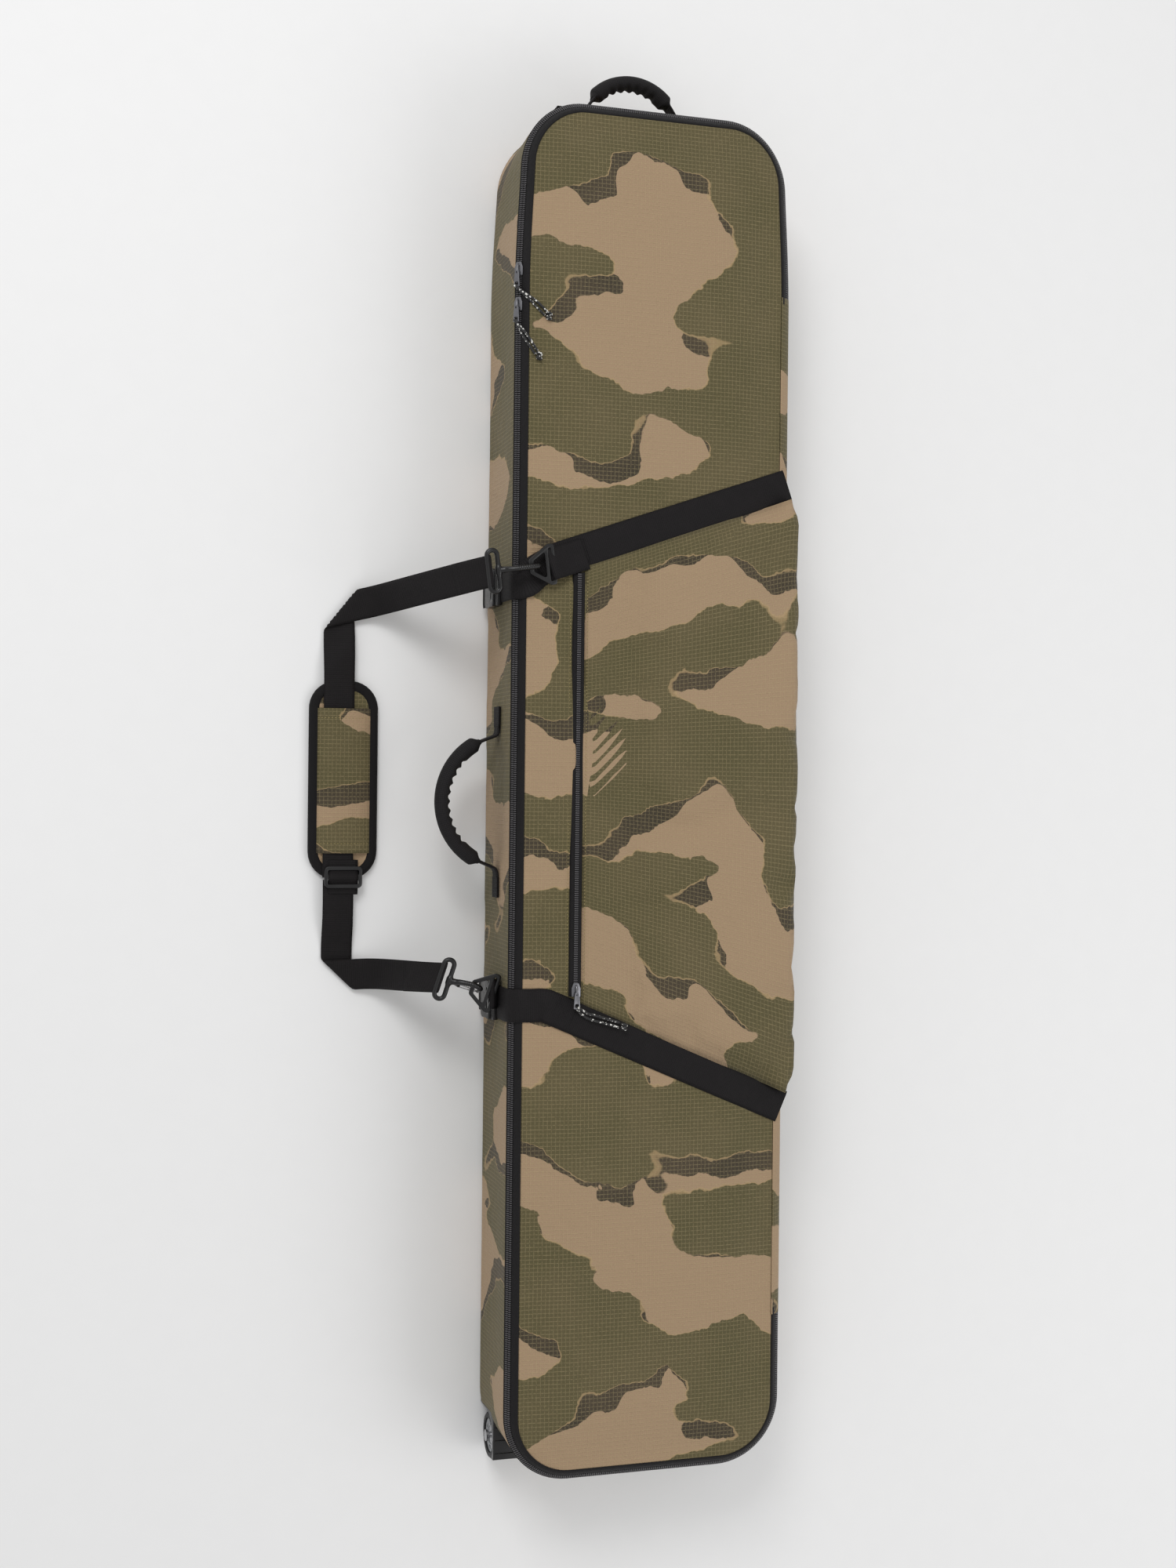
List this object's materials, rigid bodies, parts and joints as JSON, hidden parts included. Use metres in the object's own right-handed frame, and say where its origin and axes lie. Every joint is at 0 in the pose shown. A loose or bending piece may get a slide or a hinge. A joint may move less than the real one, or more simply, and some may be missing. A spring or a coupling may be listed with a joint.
{
  "type": "wheeled snowboard bag",
  "caption": "Long padded wheeled bag for a snowboard, with a zipped front panel, front pocket, lash straps, carrying handles and a detachable padded shoulder strap.",
  "frame": {"origin": "centre of the flat back face that the bag rests on", "axes": "+Z out of the front panel, +Y towards the end with the top handle, +X towards the hinged long side of the front panel"},
  "size_m": [0.5715, 1.721, 0.1818],
  "materials": {
    "camo_fabric": "ripstop camouflage polyester",
    "lining": "black lining and padding",
    "webbing": "black ribbed polyester webbing",
    "zip_tape": "black zip tape with moulded coil",
    "cord": "black cord with pale flecks",
    "black_plastic": "moulded black acetal",
    "grip": "soft black grip",
    "slider_metal": "dark painted zinc",
    "steel": "steel",
    "tyre": "dark urethane tread",
    "hub": "light grey nylon"
  },
  "bodies": {
    "shell": {"back_panel": "camo_fabric", "foam_liner": "lining", "left_gusset": "camo_fabric", "right_gusset": "camo_fabric", "top_end_panel": "camo_fabric", "bottom_end_panel": "camo_fabric", "main_zip_shell_side": "zip_tape", "hinge_fold": "webbing", "lash_buckle_sockets": "black_plastic", "buckle_anchor_webbing": "webbing", "handle_anchor_tabs": "webbing", "left_wheel_housing": "black_plastic", "right_wheel_housing": "black_plastic", "wheel_axles": "steel", "housing_screws": "steel", "tie_down_straps": "webbing", "tie_down_buckles": "black_plastic"},
    "left_wheel": {"left_wheel_tyre": "tyre", "left_wheel_hub": "hub", "left_wheel_bearing": "steel"},
    "right_wheel": {"right_wheel_tyre": "tyre", "right_wheel_hub": "hub", "right_wheel_bearing": "steel"},
    "lid": {"front_panel": "camo_fabric", "main_zip_lid_side": "zip_tape", "upper_lash_strap": "webbing", "lower_lash_strap": "webbing", "pocket_panel": "camo_fabric", "pocket_gusset": "camo_fabric", "pocket_zip": "zip_tape", "lash_buckle_tongues": "black_plastic"},
    "top_handle": {"top_handle_webbing": "webbing", "top_handle_grip": "grip"},
    "side_handle": {"side_handle_webbing": "webbing", "side_handle_grip": "grip"},
    "upper_slider": {"upper_main_slider": "slider_metal"},
    "upper_pull": {"upper_main_pull_tab": "slider_metal", "upper_main_pull_cord": "cord", "upper_main_pull_knot": "cord"},
    "lower_slider": {"lower_main_slider": "slider_metal"},
    "lower_pull": {"lower_main_pull_tab": "slider_metal", "lower_main_pull_cord": "cord", "lower_main_pull_knot": "cord"},
    "pocket_slider": {"pocket_slider": "slider_metal"},
    "pocket_pull": {"pocket_pull_tab": "slider_metal", "pocket_pull_cord": "cord", "pocket_pull_knot": "cord"},
    "strap_ends": {"upper_strap_ring": "black_plastic", "lower_strap_ring": "black_plastic", "upper_webbing_loop": "black_plastic", "lower_webbing_loop": "black_plastic"},
    "upper_hook": {"upper_snap_hook": "black_plastic"},
    "upper_gate": {"upper_hook_gate": "steel"},
    "lower_hook": {"lower_snap_hook": "black_plastic"},
    "lower_gate": {"lower_hook_gate": "steel"},
    "shoulder_strap": {"upper_shoulder_webbing": "webbing", "lower_shoulder_webbing": "webbing"},
    "pad": {"shoulder_pad": "lining", "pad_sleeve": "camo_fabric"},
    "adjuster": {"strap_adjuster": "black_plastic"}
  },
  "joints": [
    {"name": "lid_hinge", "type": "hinge", "parent": "shell", "child": "lid", "pos_m": [0.169, -0.019, 0.153], "axis": [0, 1, 0], "range_deg": [0, 85]},
    {"name": "left_wheel_spin", "type": "hinge", "parent": "shell", "child": "left_wheel", "pos_m": [-0.152, -0.809, 0.031], "axis": [1, 0, 0], "continuous": true},
    {"name": "right_wheel_spin", "type": "hinge", "parent": "shell", "child": "right_wheel", "pos_m": [0.152, -0.809, 0.031], "axis": [1, 0, 0], "continuous": true},
    {"name": "top_handle_swing", "type": "hinge", "parent": "shell", "child": "top_handle", "pos_m": [-0.022, 0.832, 0.11], "axis": [1, 0, 0], "range_deg": [-45, 45], "stiffness_Nm_per_rad": 0.6},
    {"name": "side_handle_swing", "type": "hinge", "parent": "shell", "child": "side_handle", "pos_m": [-0.178, -0.014, 0.09], "axis": [0, 1, 0], "range_deg": [-45, 45], "stiffness_Nm_per_rad": 1.5},
    {"name": "upper_slider_travel", "type": "slide", "parent": "lid", "child": "upper_slider", "axis": [0, 1, 0], "range_m": [0, 0.115]},
    {"name": "upper_pull_flip", "type": "hinge", "parent": "upper_slider", "child": "upper_pull", "pos_m": [-0.17803, 0.6195, 0.15303], "axis": [-0.7071, 0, -0.7071], "range_deg": [0, 100]},
    {"name": "lower_slider_travel", "type": "slide", "parent": "lid", "child": "lower_slider", "axis": [0, 1, 0], "range_m": [-0.2, 0]},
    {"name": "lower_pull_flip", "type": "hinge", "parent": "lower_slider", "child": "lower_pull", "pos_m": [-0.17803, 0.5775, 0.15303], "axis": [-0.7071, 0, -0.7071], "range_deg": [0, 100]},
    {"name": "pocket_slider_travel", "type": "slide", "parent": "lid", "child": "pocket_slider", "axis": [0, 1, 0], "range_m": [0, 0.485]},
    {"name": "pocket_pull_flip", "type": "hinge", "parent": "pocket_slider", "child": "pocket_pull", "pos_m": [-0.098, -0.24, 0.174], "axis": [-1, 0, 0], "range_deg": [0, 100]},
    {"name": "strap_swing", "type": "hinge", "parent": "lid", "child": "strap_ends", "pos_m": [-0.1865, -0.246, 0.118], "axis": [0.1025, 0.989, 0.1064], "range_deg": [0, 70]},
    {"name": "strap_drape", "type": "hinge", "parent": "strap_ends", "child": "shoulder_strap", "pos_m": [-0.252, -0.226, 0.113], "axis": [0.0838, 0.9894, 0.1186], "range_deg": [-51, 0]},
    {"name": "upper_hook_swivel", "type": "hinge", "parent": "strap_ends", "child": "upper_hook", "pos_m": [-0.211, 0.258, 0.171], "axis": [-0.9879, -0.152, -0.0317], "range_deg": [-12, 12]},
    {"name": "upper_gate_open", "type": "hinge", "parent": "upper_hook", "child": "upper_gate", "pos_m": [-0.18629, 0.26273, 0.16384], "axis": [0.1546, -0.9813, -0.1143], "range_deg": [0, 9], "stiffness_Nm_per_rad": 0.02, "springref_deg": -17.19},
    {"name": "lower_hook_swivel", "type": "hinge", "parent": "strap_ends", "child": "lower_hook", "pos_m": [-0.252, -0.226, 0.113], "axis": [-0.9539, 0.2913, -0.0728], "range_deg": [-12, 12]},
    {"name": "lower_gate_open", "type": "hinge", "parent": "lower_hook", "child": "lower_gate", "pos_m": [-0.22861, -0.2363, 0.10742], "axis": [-0.2967, -0.8777, 0.3764], "range_deg": [0, 9], "stiffness_Nm_per_rad": 0.02, "springref_deg": -17.19},
    {"name": "pad_slide", "type": "slide", "parent": "shoulder_strap", "child": "pad", "axis": [0, 1, 0], "range_m": [0, 0.025]},
    {"name": "adjuster_slide", "type": "slide", "parent": "shoulder_strap", "child": "adjuster", "axis": [0, -1, 0], "range_m": [0, 0.05]}
  ],
  "couplings": [
    {"joint": "strap_drape", "follows": "lid_hinge", "ratio": -0.6}
  ]
}
